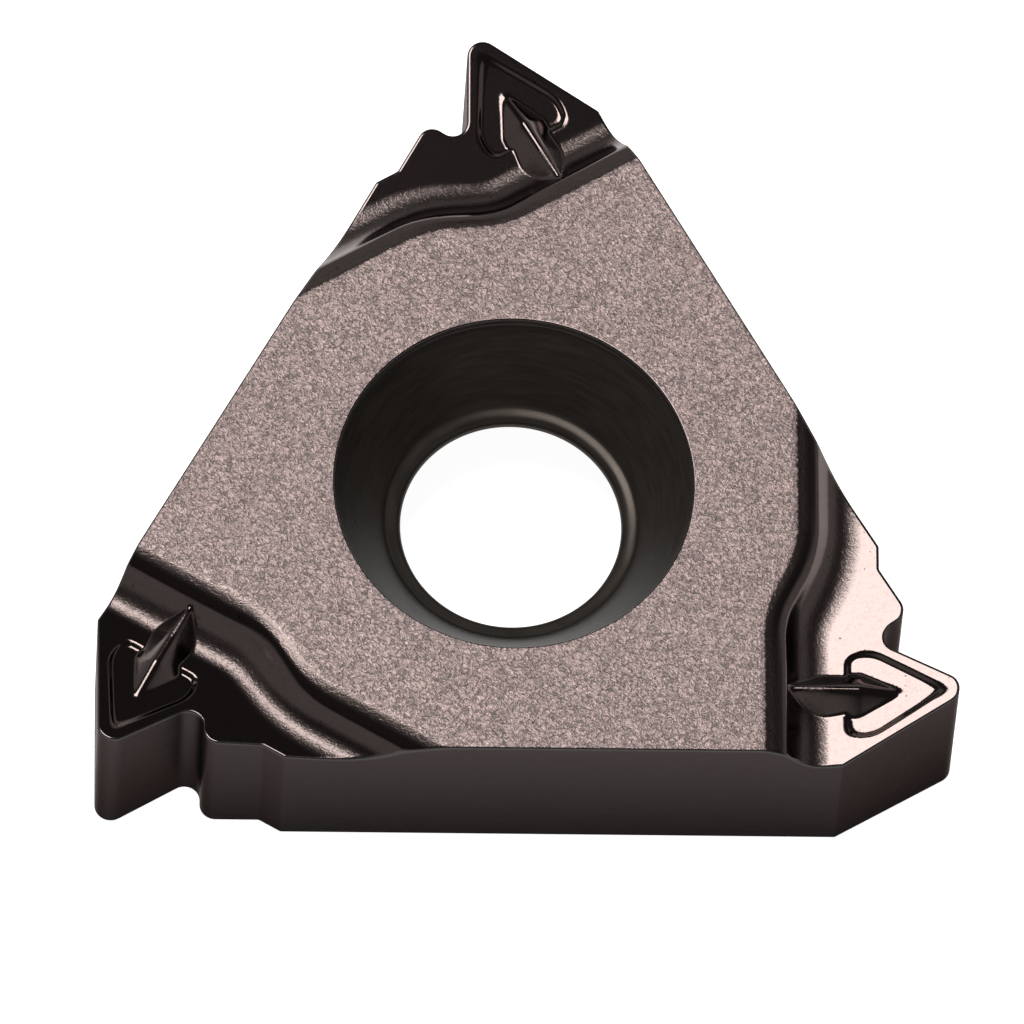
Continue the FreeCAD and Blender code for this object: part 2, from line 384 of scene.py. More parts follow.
def rounded_path(corners, radii, steps, arc_step):
    """Points and left hand normals along straight runs joined by tangent arcs.

    A corner whose turn is w takes an arc of its radius r that starts r tan(w / 2) before it. Runs are
    divided evenly by their steps, arcs by the arc step.
    """
    corners = np.array(corners, float)
    runs = np.diff(corners, axis=0)
    lengths = np.linalg.norm(runs, axis=1)
    ahead = runs / lengths[:, None]
    left = np.stack([-ahead[:, 1], ahead[:, 0]], axis=1)
    cross = ahead[:-1, 0] * ahead[1:, 1] - ahead[:-1, 1] * ahead[1:, 0]
    turns = np.arctan2(cross, np.sum(ahead[:-1] * ahead[1:], axis=1))
    tangents = np.concatenate([[0], np.array(radii) * np.abs(np.tan(turns / 2)), [0]])
    places, normals = [], []
    for i, step in enumerate(steps):
        start = corners[i] + ahead[i] * tangents[i]
        end = corners[i + 1] - ahead[i] * tangents[i + 1]
        count = max(1, math.ceil(np.linalg.norm(end - start) / step))
        shares = np.arange(count)[:, None] / count
        places.append(start + (end - start) * shares)
        normals.append(np.repeat(left[i:i + 1], count, axis=0))
        if i == len(steps) - 1:
            places.append(end[None])
            normals.append(left[i:i + 1])
            break
        if abs(turns[i]) < TINY:
            continue
        side = np.sign(turns[i])
        centre = end + left[i] * side * radii[i]
        count = max(2, math.ceil(abs(turns[i]) / arc_step))
        turned_by = turns[i] * np.arange(count) / count
        cosine, sine = np.cos(turned_by), np.sin(turned_by)
        across = cosine * left[i, 0] - sine * left[i, 1]
        upward = sine * left[i, 0] + cosine * left[i, 1]
        normal = np.stack([across, upward], axis=1)
        places.append(centre - normal * side * radii[i])
        normals.append(normal)
    return np.concatenate(places), np.concatenate(normals)


def side_directions():
    """Unit vectors out of the side before a corner and along it, in the corner's frame."""
    along = unit(SIDE_SLANT)
    return np.array([-along[1], along[0]]), along


def corner_outline(p, d):
    """Outline of one corner in its frame, with its normals.

    It runs from the seam on the side before the corner, over step, crest, notch and tooth, to the seam
    on the side after it.
    """
    flank = 90.0 - math.degrees(p.flank_half_angle)
    out, along = side_directions()
    side_before = (out * p.half_side, SIDE_SLANT)
    crest = (out * (p.half_side - p.shoulder_setback), SIDE_SLANT)
    step = ((0.0, p.step_height), 0.0)
    tip = np.array([p.tooth_centre, p.tooth_reach])
    notch = tip - np.array([p.pitch / 2, p.pitch / 2 * math.tan(math.radians(flank))])
    heel = meet((tip, -flank), ((p.half_side, 0.0), 90.0))
    seam = p.half_side * SEAM_SHARE
    corners = [
        out * p.half_side - along * seam,
        out * p.half_side + along * p.half_side * WALL_START_SHARE,
        meet(side_before, step),
        meet(step, crest),
        meet(crest, (notch, -flank)),
        notch,
        tip,
        heel,
        np.array([p.half_side, p.half_side * WALL_END_SHARE]),
        np.array([p.half_side, seam]),
    ]
    radii = [
        p.step_radius, p.step_radius, p.step_radius, p.shoulder_radius, p.notch_radius,
        p.tip_radius, p.heel_radius, p.step_radius,
    ]
    steps = [
        d.side_step, d.wall_step, d.crest_step, d.crest_step, d.tooth_step,
        d.tooth_step, d.tooth_step, d.wall_step, d.side_step,
    ]
    return rounded_path(corners, radii, steps, d.arc_step)


def inner_loop(outline, p, f):
    """Where each column of the top surface starts, on the flat top face inside the wall.

    Columns over the tooth run straight out, so that the ridge lies along them. Before and after the
    tooth the starts follow a few guide places, joined evenly along the outline: before it they keep
    inside the side, cut the corner to the base line and follow that.
    """
    base = f.wall_inner - BASE_MARGIN
    along = np.arange(len(outline))
    run = np.concatenate([[0], np.cumsum(np.linalg.norm(np.diff(outline, axis=0), axis=1))])
    before = along[outline[:, 0] < p.tooth_centre - TOOTH_HALF][-1]
    after = along[outline[:, 0] < p.tooth_centre + TOOTH_HALF][-1]
    rising = outline[:before]
    first = int(np.argmin(np.abs(rising[:, 1] - base)))
    second = int(np.argmin(np.abs(rising[:, 1] - base - SIDE_INSET / 2)))
    out, _ = side_directions()
    guides = {
        0: outline[0] - out * SIDE_INSET,
        first: outline[first] - out * SIDE_INSET,
        second: np.array([outline[second, 0] + SIDE_INSET / 2, base]),
        before: np.array([outline[before, 0], base]),
        after: np.array([outline[after, 0], base]),
    }
    for over, inset, under in AFTER_GUIDES:
        index = after + int(np.argmin(np.abs(outline[after:, 1] - base - over)))
        guides[index] = np.array([p.half_side - inset, base - under])
    guides[len(outline) - 1] = outline[-1] - np.array([SIDE_INSET, 0])
    at = run[list(guides)]
    places = np.array(list(guides.values()))
    loop = np.stack([np.interp(run, at, places[:, axis]) for axis in (0, 1)], axis=1)
    loop[before:after, 0] = outline[before:after, 0]
    return loop


def wall_distance(t, a, p, f):
    """Distance in plan outside the top face's edge, which is straight but for an S of two bends.

    Along a straight stretch it is the distance to that line, along a bend the distance to its arc.
    """
    w = f.bend_angle
    fall = f.wall_outer - f.wall_inner - 2 * f.bend_radius * (1 - math.cos(w))
    middle = fall / math.sin(w)
    end = f.bend_start + 2 * f.bend_radius * math.sin(w) + middle * math.cos(w)
    heading = np.array([math.cos(w), -math.sin(w)])
    first = np.array([f.bend_start, f.wall_outer - f.bend_radius])
    second = np.array([end, f.wall_inner + f.bend_radius])
    past_first = (t - first[0]) * heading[0] + (a - first[1]) * heading[1]
    past_second = (t - second[0]) * heading[0] + (a - second[1]) * heading[1]
    on_line = (t - first[0]) * -heading[1] + (a - first[1]) * heading[0] - f.bend_radius
    on_first = np.hypot(t - first[0], a - first[1]) - f.bend_radius
    to_second = np.hypot(t - second[0], a - second[1])
    on_second = np.where(a < second[1], f.bend_radius - to_second, f.bend_radius)
    distance = np.where(past_first < 0, on_first, np.where(past_second < 0, on_line, on_second))
    distance = np.where(t < first[0], a - f.wall_outer, distance)
    return np.where((t > end) & (past_second > 0), a - f.wall_inner, distance)


def smooth_greatest(x, y, blend):
    """The greater of two heights, plus blend / 4 times h squared.

    Here h falls from 1 where they cross to 0 where they are the blend apart.
    """
    h = np.maximum(blend - np.abs(x - y), 0) / blend
    return np.maximum(x, y) + h * h * blend / 4


def brow_height(u, t, p, f):
    """Height of the brow and the wall below it, for the distance outside the top face's edge.

    The slope grows along the brow, by two thirds in its first quarter, and then turns to the wall's. The
    drop is the sum of the slopes. Between the two bends the brow is softer: there its drop eases to that
    of a gentler one, by a bell over the middle.
    """
    quarter_angle = (f.brow_start_angle + 2 * f.brow_end_angle) / 3
    table = np.linspace(-f.brow_soft, BROW_TABLE_END, BROW_TABLE_COUNT)
    knots = [-f.brow_round, 0, f.brow_run / 4, f.brow_run, f.brow_run + f.brow_round]
    slopes = [0, f.brow_start_angle, quarter_angle, f.brow_end_angle, f.wall_angle]
    soft_knots = [-f.brow_soft, f.brow_run * BROW_SOFT_SHARE, f.brow_run + f.brow_round]
    soft_slopes = [0, f.brow_soft_angle, f.wall_angle]
    drops = []
    for places, angles in ((knots, slopes), (soft_knots, soft_slopes)):
        steepness = np.tan(np.interp(table, places, angles))
        drop = np.concatenate([[0], np.cumsum((steepness[1:] + steepness[:-1]) / 2 * np.diff(table))])
        drops.append(np.interp(u, table, drop))
    middle = f.bend_start + (f.wall_outer - f.wall_inner) / math.tan(f.bend_angle / 2) / 2
    bell = np.exp(-((t - middle) / f.brow_soft_reach) ** 2)
    return p.thickness - drops[0] - (drops[1] - drops[0]) * bell


def rake_height(a, p, f):
    """Height of the rake plane at a distance out."""
    tip_reach = p.tooth_reach - p.tip_radius * (1 / math.sin(p.flank_half_angle) - 1)
    return f.rake_tip_height - math.tan(f.rake_angle) * (tip_reach - a)


def recess_drop(t, a, p, f):
    """How far the triangular recess lies under the rake face.

    The distance outside it is the rounded greatest of those to its five sides, and its wall is the
    smooth step 3 x^2 - 2 x^3 over the wall's width.
    """
    half = np.hypot(t - p.tooth_centre, f.recess_blunt)
    side = np.array([f.recess_top - f.recess_shoulder, f.recess_half])
    side = side / np.linalg.norm(side)
    foot = np.array([f.recess_shoulder - f.recess_bottom, f.recess_foot_half - f.recess_half])
    foot = foot / np.linalg.norm(foot)
    to_side = half * side[0] + (a - f.recess_top) * side[1]
    to_foot = (half - f.recess_half) * foot[0] + (a - f.recess_shoulder) * foot[1]
    to_bottom = f.recess_bottom - a
    outside = smooth_greatest(to_side, to_foot, f.recess_round)
    outside = smooth_greatest(outside, to_bottom, f.recess_round)
    inside = np.clip(0.5 - outside / f.recess_wall, 0, 1)
    return f.recess_depth * inside * inside * (3 - 2 * inside)


def ridge_height(t, a, p, f):
    """Height of the arrow ridge: a rounded crest with plane sides that meet the floor at its half width.

    Behind its widest place the body ends blunt, fuller than half an ellipse. Ahead of it the half width
    runs straight to the waist and the arrow head. From there only the crest falls, so that the sides
    close to a point.
    """
    behind = np.clip((f.ridge_belly - a) / (f.ridge_belly - f.ridge_tail), 0, 1)
    fullness = (1 - behind ** TAIL_POWER) ** (1 / TAIL_POWER)
    halves = [f.ridge_belly_half, f.ridge_waist_half, f.ridge_head_half]
    half_width = np.interp(a, [f.ridge_belly, f.ridge_waist, f.ridge_head], halves) * fullness
    drop = np.interp(a, [f.ridge_waist, f.ridge_head], [0, f.recess_depth])
    floor = rake_height(a, p, f) - drop
    crest = np.interp(a, [f.ridge_tail, f.ridge_head], [f.ridge_back, f.ridge_front])
    full = crest - rake_height(np.minimum(a, f.ridge_head), p, f) + drop
    nose = (f.ridge_tip - a) / (f.ridge_tip - f.ridge_head)
    side_slope = full / np.maximum(half_width - f.ridge_crest, f.ridge_crest)
    off = np.hypot(t - p.tooth_centre, f.ridge_crest) - f.ridge_crest
    height = floor + full * np.minimum(nose, 1) - side_slope * off
    return height - np.maximum(f.ridge_tail - a, 0) * RIDGE_END_SLOPE


def top_height(t, a, p, f):
    """Height of the pressed top surface at a place in plan, and the distance outside the top face's edge.

    It is the greater of rake and wall, rounded where they meet, with the ridge blended in, and never
    above the top face.
    """
    u = wall_distance(t, a, p, f)
    rake = rake_height(a, p, f) - recess_drop(t, a, p, f)
    wall = brow_height(u, t, p, f)
    gap = np.abs(rake - wall)
    rounding = f.foot_depth * FOOT_SHARE * np.maximum(1 - gap / f.foot_depth, 0) ** FOOT_POWER
    surface = np.maximum(rake, wall) + rounding
    surface = smooth_greatest(surface, ridge_height(t, a, p, f), f.ridge_round)
    return np.minimum(surface, p.thickness), u


# Surfaces

def row_shares(d):
    """Shares of a column's length at which its rows lie, closer over the wall and the recess's sides."""
    knots = [0, WALL_SHARE, RIDGE_SHARE, RECESS_SHARE, 1]
    counts = [d.wall_rows, d.ridge_rows, d.recess_rows, d.rim_rows]
    parts = [start + (end - start) * np.arange(n) / n for start, end, n in zip(knots, knots[1:], counts)]
    return np.concatenate(parts)


def sleeve_corner(p, f, d):
    """Grid of the outer skin at one corner, from the flat top face over the honed edge down to the seat.

    Rows of the top run evenly from the inner loop to just inside the outline and take their height from
    the pressed surface. The edge then rounds over: at a distance inside the outline the hone has
    dropped by its radius less the half chord there. Below it the flank is upright.
    """
    outline, normals = corner_outline(p, d)
    inner = inner_loop(outline, p, f)
    rim = outline - normals * p.hone * HONE_ROWS[0]
    shares = row_shares(d)[:, None, None]
    plan = inner + (rim - inner) * shares
    inside = (p.hone * HONE_ROWS)[:, None, None]
    plan = np.concatenate([plan, outline - normals * inside])
    height, u = top_height(plan[..., 0], plan[..., 1], p, f)
    depth = np.maximum(p.hone - p.hone * HONE_ROWS, 0)
    drop = np.concatenate([np.zeros(len(shares)), p.hone - np.sqrt(p.hone ** 2 - depth ** 2)])
    height = height - drop[:, None]
    hold = height[-1] - FLANK_HOLD
    low = np.full_like(hold, p.seat_break)
    lines = [(0.0, hold), (0.0, low + FLANK_HOLD)] + [(back, low * up) for back, up in SEAT_ROWS]
    plan = np.concatenate([plan, np.stack([outline - normals * p.seat_break * back for back, _ in lines])])
    height = np.concatenate([height, np.stack([z for _, z in lines])])
    u = np.concatenate([u, np.ones((len(lines), u.shape[1]))])
    grid = np.concatenate([plan, height[..., None]], axis=-1)
    return grid[:, :-1], u[:, :-1], len(shares) + len(HONE_ROWS)


def turn_plan(grid, degrees):
    """A grid of places turned about the hole's axis."""
    cosine, sine = unit(degrees)
    turned = grid.copy()
    turned[..., 0] = grid[..., 0] * cosine - grid[..., 1] * sine
    turned[..., 1] = grid[..., 0] * sine + grid[..., 1] * cosine
    return turned


def sleeve(p, f, d):
    """The three corners' grids side by side, as one closed sleeve round the hole's axis."""
    grid, u, top_rows = sleeve_corner(p, f, d)
    grids = [turn_plan(grid, SIDE_SLANT - k * 360.0 / CORNERS) for k in range(CORNERS)]
    return np.concatenate(grids, axis=1), np.concatenate([u] * CORNERS, axis=1), top_rows


def hole_wall(p, h, d):
    """The hole as a profile revolved about its axis, clockwise from above like the sleeve."""
    top = p.thickness
    margin = h.edge_radius * HOLE_MARGIN
    corners = [
        (h.mouth_radius + margin, top),
        (h.mouth_radius, top),
        (h.mouth_radius, top - h.lip_depth),
        (h.ring_radius, h.ring_height),
        (h.neck_radius, h.neck_top),
        (h.neck_radius, h.neck_top - h.neck_length),
        (h.relief_radius, 0),
        (h.relief_radius + margin, 0),
    ]
    radii = [h.edge_radius, h.cone_radius, h.ring_round, h.neck_round, h.cone_radius, h.edge_radius]
    steps = [margin / 2, h.lip_depth / LIP_STEPS, CONE_STEP, NECK_STEP, NECK_STEP, RELIEF_STEP, margin / 2]
    profile, _ = rounded_path(corners, radii, steps, d.arc_step)
    turn = -2 * math.pi * np.arange(d.hole_columns) / d.hole_columns
    radius, height = profile[:, :1], profile[:, 1:]
    return np.stack([radius * np.cos(turn), radius * np.sin(turn), height + 0 * turn], axis=-1)


def grid_faces(rows, columns, first):
    """Quads of a grid whose rows close on themselves; vertices count along each row, from first."""
    row = np.arange(rows - 1)[:, None] * columns
    column = np.arange(columns)[None]
    following = (column + 1) % columns
    below = row + columns
    quads = np.stack([row + column, below + column, below + following, row + following], axis=-1)
    return quads.reshape(-1, 4) + first


def ring_faces(outer, inner, outer_first, inner_first):
    """Triangles between two clockwise loops round the axis.

    Each outer edge makes a triangle with the inner place at its angle, and each inner edge one with the
    outer place where that angle passes on.
    """
    n, m = len(outer), len(inner)
    start = math.atan2(inner[0, 1], inner[0, 0])
    turn = np.unwrap(start - np.arctan2(outer[:, 1], outer[:, 0]))
    partner = np.floor(turn / (2 * math.pi) * m).astype(int)
    partner = np.maximum.accumulate(np.append(partner, partner[0] + m))
    i = np.arange(n)
    fans = np.stack([i, (i + 1) % n, partner[:-1] % m], axis=-1)
    steps = np.arange(partner[0], partner[0] + m)
    tip = np.searchsorted(partner, steps, side="right")
    wedges = np.stack([steps % m, tip % n, (steps + 1) % m], axis=-1)
    fans = fans + np.array([outer_first, outer_first, inner_first])
    wedges = wedges + np.array([inner_first, outer_first, inner_first])
    return np.concatenate([fans, wedges])


def mesh_from(name, places, faces, materials, finishes, layers):
    """A smooth mesh object in metres from numpy arrays.

    Finishes holds each face's material number, layers the named values of each vertex.
    """
    mesh = bpy.data.meshes.new(name)
    mesh.vertices.add(len(places))
    mesh.vertices.foreach_set("co", (places * MM).astype(np.float32).ravel())
    sizes = np.concatenate([np.full(len(block), block.shape[1]) for block in faces])
    corners = np.concatenate([block.ravel() for block in faces])
    mesh.loops.add(len(corners))
    mesh.loops.foreach_set("vertex_index", corners.astype(np.int32))
    mesh.polygons.add(len(sizes))
    starts = np.concatenate([[0], np.cumsum(sizes)[:-1]])
    mesh.polygons.foreach_set("loop_start", starts.astype(np.int32))
    mesh.polygons.foreach_set("material_index", finishes.astype(np.int32))
    mesh.polygons.foreach_set("use_smooth", np.ones(len(sizes), bool))
    mesh.update(calc_edges=True)
    for layer_name, values in layers.items():
        layer = mesh.attributes.new(layer_name, "FLOAT", "POINT")
        layer.data.foreach_set("value", values.astype(np.float32))
    for material in materials:
        mesh.materials.append(material)
    if mesh.validate():
        raise ValueError("the mesh had faulty faces")
    return add_object(name, mesh)


# Materials

def node(tree, kind, settings=None, inputs=None):
    """A new node with its settings and the values of its sockets."""
    made = tree.nodes.new(kind)
    for key, value in (settings or {}).items():
        setattr(made, key, value)
    for key, value in (inputs or {}).items():
        made.inputs[key].default_value = value
    return made


def feed(tree, socket, value):
    """Gives a socket its value, which is another node's output or a plain value."""
    if hasattr(value, "is_output"):
        tree.links.new(value, socket)
    else:
        socket.default_value = value


def empty_tree(block):
    """The emptied node tree of a material or of the surroundings."""
    block.use_nodes = True
    block.node_tree.nodes.clear()
    return block.node_tree


def lay_out(tree):
    """Places the nodes in columns, each one to the left of all that it feeds."""
    column = {item.name: 0 for item in tree.nodes}
    for _ in tree.nodes:
        for link in tree.links:
            column[link.from_node.name] = max(column[link.from_node.name], column[link.to_node.name] + 1)
    filled = [0] * len(column)
    for item in tree.nodes:
        at = column[item.name]
        item.location = (-at * NODE_WIDTH, -filled[at] * NODE_HEIGHT)
        filled[at] += 1


def new_material(name):
    """A node material with a Principled shader wired to its output, and the object's coordinates."""
    material = bpy.data.materials.new(name)
    tree = empty_tree(material)
    out = node(tree, "ShaderNodeOutputMaterial")
    shader = node(tree, "ShaderNodeBsdfPrincipled", inputs={"Metallic": 1.0})
    feed(tree, out.inputs["Surface"], shader.outputs["BSDF"])
    place = node(tree, "ShaderNodeTexCoord").outputs["Object"]
    return material, tree, shader, place


def noise(tree, place, size, detail, curl=0.0):
    """Noise whose features are about the given size in millimetres."""
    scale = 1 / (size * MM)
    made = node(tree, "ShaderNodeTexNoise", inputs={"Scale": scale, "Detail": detail, "Distortion": curl})
    feed(tree, made.inputs["Vector"], place)
    return made.outputs["Fac"]


def drawn_noise(tree, place, stretch, size, detail):
    """Lines of the given width: noise drawn out along the axes where the stretch is below 1."""
    drawn = node(tree, "ShaderNodeMapping", inputs={"Scale": stretch})
    feed(tree, drawn.inputs["Vector"], place)
    return noise(tree, drawn.outputs["Vector"], size, detail)


def opaque(tone):
    """A colour, or a grey given as a number, with an alpha of 1."""
    return (*tone, 1.0) if hasattr(tone, "__len__") else (tone, tone, tone, 1.0)


def shade(tone, factor):
    """A colour, or a grey given as a number, times a factor."""
    return tuple(factor * x for x in tone) if hasattr(tone, "__len__") else factor * tone


def ramp(tree, value, places, tones):
    """A colour ramp over a value, from the places of its stops and their colours or greys."""
    made = node(tree, "ShaderNodeValToRGB")
    elements = made.color_ramp.elements
    while len(elements) < len(places):
        elements.new(places[1])
    for element, at, tone in zip(elements, places, tones):
        element.position = at
        element.color = opaque(tone)
    feed(tree, made.inputs["Fac"], value)
    return made.outputs["Color"]


def varied(tree, lines, tone, spread):
    """A colour or a grey that varies with the lines of a face, by the spread to both sides."""
    return ramp(tree, lines, LINE_STOPS, (shade(tone, 1 - spread), shade(tone, 1 + spread)))


def arithmetic(tree, kind, first, second):
    """A Math node of two values, each another node's output or a number."""
    made = node(tree, "ShaderNodeMath", {"operation": kind})
    feed(tree, made.inputs[0], first)
    feed(tree, made.inputs[1], second)
    return made.outputs[0]


def mixed(tree, factor, first, second, blend="MIX"):
    """A colour mix by a factor; each side is another node's output, a colour or a grey."""
    made = node(tree, "ShaderNodeMix", {"data_type": "RGBA", "blend_type": blend})
    feed(tree, made.inputs[0], factor)
    for socket, value in ((made.inputs[6], first), (made.inputs[7], second)):
        feed(tree, socket, value if hasattr(value, "is_output") else opaque(value))
    return made.outputs[2]


def bump(tree, height, strength, depth):
    """Normals of a relief with the given depth in millimetres."""
    made = node(tree, "ShaderNodeBump", inputs={"Distance": depth * MM})
    feed(tree, made.inputs["Height"], height)
    feed(tree, made.inputs["Strength"], strength)
    return made.outputs["Normal"]


def coating_material(c):
    """Coat of the top: a blasted, worm grained matte face that turns polished where the brow starts."""
    material, tree, shader, place = new_material("pressed_coating")
    grain = noise(tree, place, c.grain, GRAIN_DETAIL, GRAIN_CURL)
    clouds = noise(tree, place, c.grain * CLOUD_SIZE, detail=1.0)
    pits = noise(tree, place, c.grain * PIT_SIZE, detail=1.0)
    matte = node(tree, "ShaderNodeAttribute", {"attribute_name": MATTE_LAYER}).outputs["Fac"]
    foot = node(tree, "ShaderNodeAttribute", {"attribute_name": FOOT_LAYER}).outputs["Fac"]
    frayed = arithmetic(tree, "ADD", matte, arithmetic(tree, "MULTIPLY", grain, FRAY_SHARE))
    matte = ramp(tree, frayed, FRAY_STOPS, (0.0, 1.0))
    pit = ramp(tree, pits, PIT_STOPS, (0.0, 1.0))
    tone = ramp(tree, grain, GRAIN_STOPS, (c.matte_dark, c.matte, shade(c.matte, GRAIN_HIGH_TONE)))
    tone = mixed(tree, pit, shade(c.matte_dark, MATTE_PIT_TONE), tone)
    tone = mixed(tree, 1.0, tone, ramp(tree, clouds, CLOUD_STOPS, CLOUD_TONES), "MULTIPLY")
    sheen = ramp(tree, grain, GRAIN_STOPS[:2], (shade(c.polished, SHEEN_LOW_TONE), c.polished))
    sheen = mixed(tree, pit, shade(c.polished, SHEEN_PIT_TONE), sheen)
    feed(tree, shader.inputs["Base Color"], mixed(tree, matte, sheen, tone))
    smooth = mixed(tree, foot, c.polished_roughness, c.foot_roughness)
    feed(tree, shader.inputs["Roughness"], mixed(tree, matte, smooth, c.matte_roughness))
    feed(tree, shader.inputs["Metallic"], mixed(tree, matte, 1.0, c.matte_metal))
    relief = mixed(tree, matte, mixed(tree, foot, SHEEN_RELIEF, FOOT_RELIEF), MATTE_RELIEF)
    feed(tree, shader.inputs["Normal"], bump(tree, grain, relief, c.grain_depth))
    lay_out(tree)
    return material


def flank_material(c, p):
    """Coat of the ground flanks: a dark satin with faint grinding lines, paler towards the edge and darker
    towards the seat as painted shade of the shadowed floor that it mirrors there.
    """
    material, tree, shader, place = new_material("ground_flank")
    shader.inputs["Specular Tint"].default_value = opaque(c.edge_tint)
    lines = drawn_noise(tree, place, stretch=(0.15, 0.15, 1.0), size=0.05, detail=2.0)
    split = node(tree, "ShaderNodeSeparateXYZ")
    feed(tree, split.inputs[0], place)
    # Painted shade: the flank's colour darkens from the edge down to the seat, for the shadowed floor that
    # it mirrors there
    level = arithmetic(tree, "MULTIPLY", split.outputs["Z"], 1 / (p.thickness * MM))
    feed(tree, shader.inputs["Base Color"], ramp(tree, level, (0.0, 1.0), (c.flank_low, c.flank)))
    feed(tree, shader.inputs["Roughness"], varied(tree, lines, c.flank_roughness, spread=0.1))
    feed(tree, shader.inputs["Normal"], bump(tree, lines, strength=0.2, depth=0.001))
    lay_out(tree)
    return material


def bore_material(c):
    """Coat of the hole: nearly black and smooth, with turned rings too fine to count."""
    material, tree, shader, place = new_material("hole_coating")
    shader.inputs["Specular Tint"].default_value = opaque(c.bore_tint)
    shader.inputs["Metallic"].default_value = c.dull_metal
    rings = drawn_noise(tree, place, stretch=(0.1, 0.1, 1.0), size=0.06, detail=1.0)
    feed(tree, shader.inputs["Base Color"], varied(tree, rings, c.bore, spread=0.15))
    feed(tree, shader.inputs["Roughness"], varied(tree, rings, c.bore_roughness, spread=0.08))
    lay_out(tree)
    return material


def seat_material(c):
    """Coat of the seat face: ground flat, with straight grinding lines and a satin sheen."""
    material, tree, shader, place = new_material("ground_seat")
    shader.inputs["Metallic"].default_value = c.dull_metal
    lines = drawn_noise(tree, place, stretch=(0.06, 1.0, 1.0), size=0.04, detail=3.0)
    feed(tree, shader.inputs["Base Color"], varied(tree, lines, c.seat, spread=0.25))
    feed(tree, shader.inputs["Roughness"], varied(tree, lines, c.seat_roughness, spread=0.111))
    feed(tree, shader.inputs["Normal"], bump(tree, lines, strength=0.4, depth=0.0015))
    lay_out(tree)
    return material


def floor_material(s):
    """Plain pale floor that keeps the shadow and glows a little where it is looked at or mirrored."""
    material = bpy.data.materials.new("pale_floor")
    tree = empty_tree(material)
    out = node(tree, "ShaderNodeOutputMaterial")
    tone = node(tree, "ShaderNodeBsdfDiffuse", inputs={"Color": opaque(s.floor_colour)})
    glow = node(tree, "ShaderNodeEmission", inputs={"Color": opaque(1.0)})
    path = node(tree, "ShaderNodeLightPath")
    seen = arithmetic(tree, "MAXIMUM", path.outputs["Is Camera Ray"], path.outputs["Is Glossy Ray"])
    seen = arithmetic(tree, "MAXIMUM", seen, path.outputs["Is Transmission Ray"])
    feed(tree, glow.inputs["Strength"], arithmetic(tree, "MULTIPLY", seen, s.floor_glow))
    both = node(tree, "ShaderNodeAddShader")
    feed(tree, both.inputs[0], tone.outputs[0])
    feed(tree, both.inputs[1], glow.outputs[0])
    feed(tree, out.inputs["Surface"], both.outputs[0])
    lay_out(tree)
    return material


def surroundings():
    """A white band low all round that darkens upwards, as a tented table under a dark ceiling."""
    world = bpy.data.worlds.new("tented_studio")
    tree = empty_tree(world)
    out = node(tree, "ShaderNodeOutputWorld")
    sky = node(tree, "ShaderNodeBackground")
    split = node(tree, "ShaderNodeSeparateXYZ")
    feed(tree, split.inputs[0], node(tree, "ShaderNodeTexCoord").outputs["Generated"])
    feed(tree, sky.inputs["Color"], ramp(tree, split.outputs["Z"], SKY_STOPS, SKY_TONES))
    feed(tree, out.inputs["Surface"], sky.outputs[0])
    lay_out(tree)
    return world


# Operators

class INSERT_OT_make(bpy.types.Operator):
    """Builds the coated threading insert in place of its plain solid"""

    bl_idname = "insert.make"
    bl_label = "Make Threading Insert"

    def execute(self, context):
        p, f, h, d, c = [in_millimetres(getattr(context.scene, slot)) for slot in INSERT_SLOTS]
        skin, u, top_rows = sleeve(p, f, d)
        hole = hole_wall(p, h, d)
        skin_rows, skin_columns = skin.shape[:2]
        hole_rows, hole_columns = hole.shape[:2]
        hole_first = skin_rows * skin_columns
        bottom_first = (skin_rows - 1) * skin_columns
        hole_bottom = hole_first + (hole_rows - 1) * hole_columns
        faces = [
            grid_faces(skin_rows, skin_columns, 0)[:, ::-1],
            grid_faces(hole_rows, hole_columns, hole_first),
            ring_faces(skin[0], hole[0], 0, hole_first)[:, ::-1],
            ring_faces(skin[-1], hole[-1], bottom_first, hole_bottom),
        ]
        on_top = np.arange(skin_rows - 1) < top_rows - DARK_HONE_ROWS
        on_mouth = hole[1:, 0, 2] > p.thickness - h.edge_radius
        finishes = np.concatenate([
            np.repeat(np.where(on_top, TOP_COAT, FLANK_COAT), skin_columns),
            np.repeat(np.where(on_mouth, TOP_COAT, BORE_COAT), hole_columns),
            np.full(len(faces[2]), TOP_COAT),
            np.full(len(faces[3]), SEAT_COAT),
        ])
        flat = hole[:, 0, 2] > p.thickness - TINY
        on_hole = np.repeat(flat.astype(float), hole_columns)
        u = u.ravel()
        layers = {
            MATTE_LAYER: np.concatenate([np.clip(0.5 - (u - MATTE_END) / MATTE_REACH, 0, 1), on_hole]),
            FOOT_LAYER: np.concatenate([np.interp(u, FOOT_BAND, FOOT_GRAIN), 0 * on_hole]),
        }
        places = np.concatenate([skin.reshape(-1, 3), hole.reshape(-1, 3)])
        materials = [coating_material(c), flank_material(c, p), bore_material(c), seat_material(c)]
        made = mesh_from("threading_insert_coated", places, faces, materials, finishes, layers)
        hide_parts(NODE)
        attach(made, BODY)
        return {"FINISHED"}


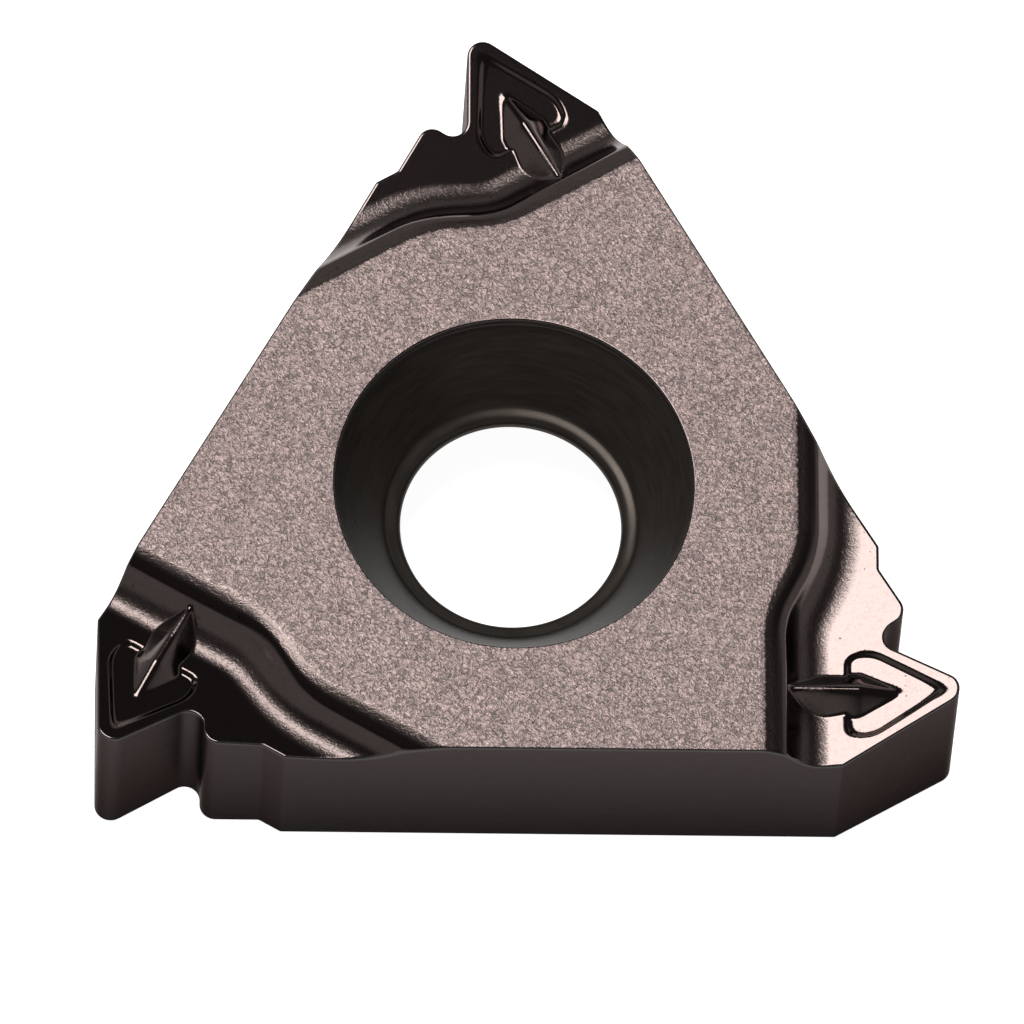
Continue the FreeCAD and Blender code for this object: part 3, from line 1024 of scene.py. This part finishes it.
class INSERT_OT_stage(bpy.types.Operator):
    """Lays the pale floor and sets up the softbox, the surroundings and the camera"""

    bl_idname = "insert.stage"
    bl_label = "Make Studio"

    def execute(self, context):
        scene = context.scene
        s = scene.insert_studio
        half = s.floor_width / 2
        mesh = bpy.data.meshes.new("studio_floor")
        level = -FLOOR_GAP
        rim = [(-half, -half, level), (half, -half, level), (half, half, level), (-half, half, level)]
        mesh.from_pydata(rim, [], [(0, 1, 2, 3)])
        mesh.materials.append(floor_material(s))
        floor = add_object("studio_floor", mesh)
        lamp = bpy.data.lights.new("softbox", "AREA")
        lamp.shape = "RECTANGLE"
        lamp.size = s.box_width
        lamp.size_y = s.box_depth
        lamp.energy = s.box_power
        box = add_object("softbox", lamp)
        away = s.box_direction.normalized()
        box.location = away * s.box_distance
        box.rotation_euler = away.to_track_quat("Z", "Y").to_euler()
        scene.world = surroundings()
        lens = bpy.data.cameras.new("camera")
        lens.lens = s.camera_lens
        camera = add_object("camera", lens)
        camera.location = s.camera_place
        camera.rotation_euler = Euler(s.camera_turn, "XYZ")
        scene.camera = camera
        scene.view_settings.view_transform = "Standard"
        return {"FINISHED"}


class INSERT_PT_sidebar(bpy.types.Panel):
    """Lists the insert's operators and sizes"""

    bl_idname = "INSERT_PT_sidebar"
    bl_label = "Threading Insert"
    bl_space_type = "VIEW_3D"
    bl_region_type = "UI"
    bl_category = "Insert"

    def draw(self, context):
        layout = self.layout
        layout.operator(INSERT_OT_make.bl_idname)
        layout.operator(INSERT_OT_stage.bl_idname)
        for slot in SETTINGS:
            group = getattr(context.scene, slot)
            box = layout.box()
            for prop in own_properties(group):
                box.prop(group, prop.identifier)


SETTINGS = {
    "insert_profile": ProfileSizes,
    "insert_former": FormerSizes,
    "insert_hole": HoleSizes,
    "insert_density": MeshDensity,
    "insert_finish": FinishColours,
    "insert_studio": StudioSettings,
}

# The settings that the insert is made from, which are all but the studio's
INSERT_SLOTS = list(SETTINGS)[:-1]

CLASSES = (*SETTINGS.values(), INSERT_OT_make, INSERT_OT_stage, INSERT_PT_sidebar)


def register():
    """Registers the classes and hangs the settings on the scene."""
    for item in CLASSES:
        bpy.utils.register_class(item)
    for slot, group in SETTINGS.items():
        setattr(bpy.types.Scene, slot, PointerProperty(type=group))


def unregister():
    """Takes the settings and the classes away again."""
    for slot in SETTINGS:
        delattr(bpy.types.Scene, slot)
    for item in reversed(CLASSES):
        bpy.utils.unregister_class(item)


def main():
    """Builds the insert and its studio."""
    register()
    bpy.ops.insert.make()
    bpy.ops.insert.stage()
    bpy.context.view_layer.update()


if __name__ == "__main__":
    main()
